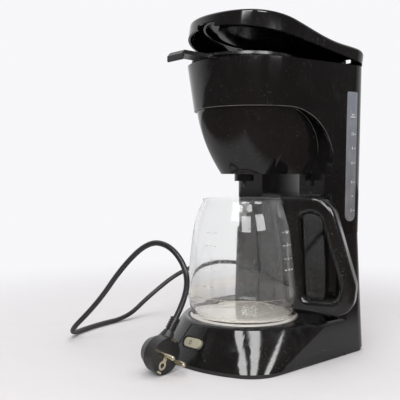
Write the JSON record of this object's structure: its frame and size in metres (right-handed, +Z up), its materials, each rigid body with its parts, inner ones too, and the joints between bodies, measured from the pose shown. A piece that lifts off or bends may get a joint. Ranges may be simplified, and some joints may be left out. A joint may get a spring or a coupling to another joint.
{
  "type": "drip coffee maker",
  "caption": "Black drip coffee maker with a leaning base, rear water tower, round brewing head with hinged lid, lift-out filter basket and a glass jug on a hot plate.",
  "frame": {"origin": "on the table under the middle of the base", "axes": "+Z up, front to -Y, level window on the +X side"},
  "size_m": [0.3352, 0.3266, 0.3774],
  "materials": {
    "housing": "gloss",
    "basket": "satin",
    "underside": "matte",
    "handle": "satin",
    "glass": "clear",
    "window": "frosted",
    "switch": "satin",
    "switch_frame": "gloss",
    "plate": "satin",
    "steel": "satin",
    "brass": "bright",
    "aluminium": "satin",
    "fuse": "matte",
    "rubber": "matte",
    "hose": "matte"
  },
  "bodies": {
    "machine": {"base_housing": "housing", "bottom_cover": "underside", "bottom_screws": "steel", "brew_bowl": "housing", "check_valve": "underside", "clamp_nut": "steel", "cord_gland": "underside", "drip_bridge": "underside", "filter_basket": "basket", "heat_spreader": "aluminium", "heater_clamp": "steel", "heater_tube": "aluminium", "heating_rod": "steel", "hinge_pins": "steel", "hot_plate": "plate", "inlet_hose": "hose", "level_window": "window", "outlet_hose": "hose", "plate_gasket": "rubber", "plug_body": "underside", "plug_contacts": "brass", "plug_pins": "brass", "power_cord": "rubber", "riser_tube": "underside", "rubber_feet": "rubber", "spout": "underside", "switch_body": "switch_frame", "thermal_fuse": "fuse", "thermostat": "steel", "upper_body": "housing"},
    "lid": {"lid": "housing", "spreader_plate": "basket"},
    "jug": {"jug_glass": "glass", "jug_handle": "handle"},
    "switch_rocker": {"switch_rocker": "switch"},
    "drip_stop": {"drip_plunger": "underside", "drip_seal": "rubber"},
    "valve_ball": {"valve_ball": "underside"}
  },
  "joints": [
    {"name": "lid_hinge", "type": "hinge", "parent": "machine", "child": "lid", "pos_m": [0, 0.105, 0.333], "axis": [-1, 0, 0], "range_deg": [-11, 75]},
    {"name": "jug_slide", "type": "slide", "parent": "machine", "child": "jug", "axis": [0.848, -0.5299, 0], "range_m": [0, 0.2]},
    {"name": "switch_rock", "type": "hinge", "parent": "machine", "child": "switch_rocker", "pos_m": [0.00487, -0.09033, 0.02249], "axis": [-0.0255, 0.502, 0.8645], "range_deg": [0, 14]},
    {"name": "drip_lift", "type": "slide", "parent": "machine", "child": "drip_stop", "axis": [0, 0, 1], "range_m": [0, 0.005], "stiffness_N_per_m": 60, "springref_m": -0.008},
    {"name": "ball_lift", "type": "slide", "parent": "machine", "child": "valve_ball", "axis": [0, 0, 1], "range_m": [0, 0.004]}
  ]
}
